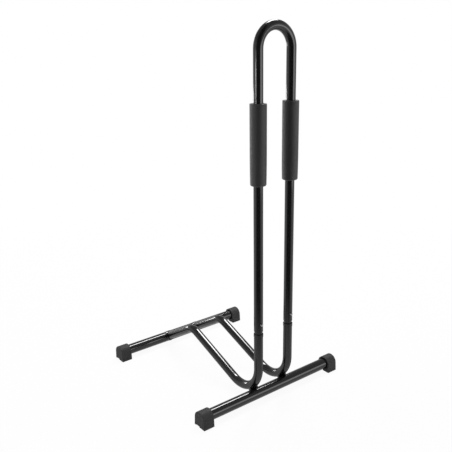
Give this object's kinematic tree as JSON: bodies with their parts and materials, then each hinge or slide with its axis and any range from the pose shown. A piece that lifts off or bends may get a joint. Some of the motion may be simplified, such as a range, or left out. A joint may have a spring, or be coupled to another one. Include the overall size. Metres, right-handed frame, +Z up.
{
  "type": "floor bike rack",
  "caption": "Freestanding floor bike rack: two short cross bars on plastic feet, two bent side tubes that hold the tyre between them, and a tall hoop with foam grips locked on by snap buttons.",
  "frame": {"origin": "on the floor, under the middle of the rack", "axes": "+Z up, -Y to the front where the bicycle's wheel rolls against the hoop side, X along the cross bars"},
  "size_m": [0.426, 0.4375, 0.876],
  "materials": {
    "black_paint": "gloss",
    "foot_plastic": "matte",
    "grip_foam": "matte",
    "button_zinc": "bright",
    "sleeve_steel": "satin",
    "spring_steel": "satin"
  },
  "bodies": {
    "frame": {"front_bar": "black_paint", "rear_bar": "black_paint", "left_side_tube": "black_paint", "right_side_tube": "black_paint", "front_weld_left": "black_paint", "front_weld_right": "black_paint", "rear_weld_left": "black_paint", "rear_weld_right": "black_paint", "front_left_foot": "foot_plastic", "front_right_foot": "foot_plastic", "rear_left_foot": "foot_plastic", "rear_right_foot": "foot_plastic", "left_coupling_sleeve": "sleeve_steel", "right_coupling_sleeve": "sleeve_steel", "hoop": "black_paint", "left_grip": "grip_foam", "right_grip": "grip_foam", "left_button_spring": "spring_steel", "right_button_spring": "spring_steel"},
    "left_button": {"left_snap_button": "button_zinc"},
    "right_button": {"right_snap_button": "button_zinc"}
  },
  "joints": [
    {"name": "left_button_press", "type": "slide", "parent": "frame", "child": "left_button", "axis": [0, 1, 0], "range_m": [0, 0.0056], "stiffness_N_per_m": 900, "springref_m": -0.003, "deforming": ["left_button_spring"]},
    {"name": "right_button_press", "type": "slide", "parent": "frame", "child": "right_button", "axis": [0, 1, 0], "range_m": [0, 0.0056], "stiffness_N_per_m": 900, "springref_m": -0.003, "deforming": ["right_button_spring"]}
  ]
}
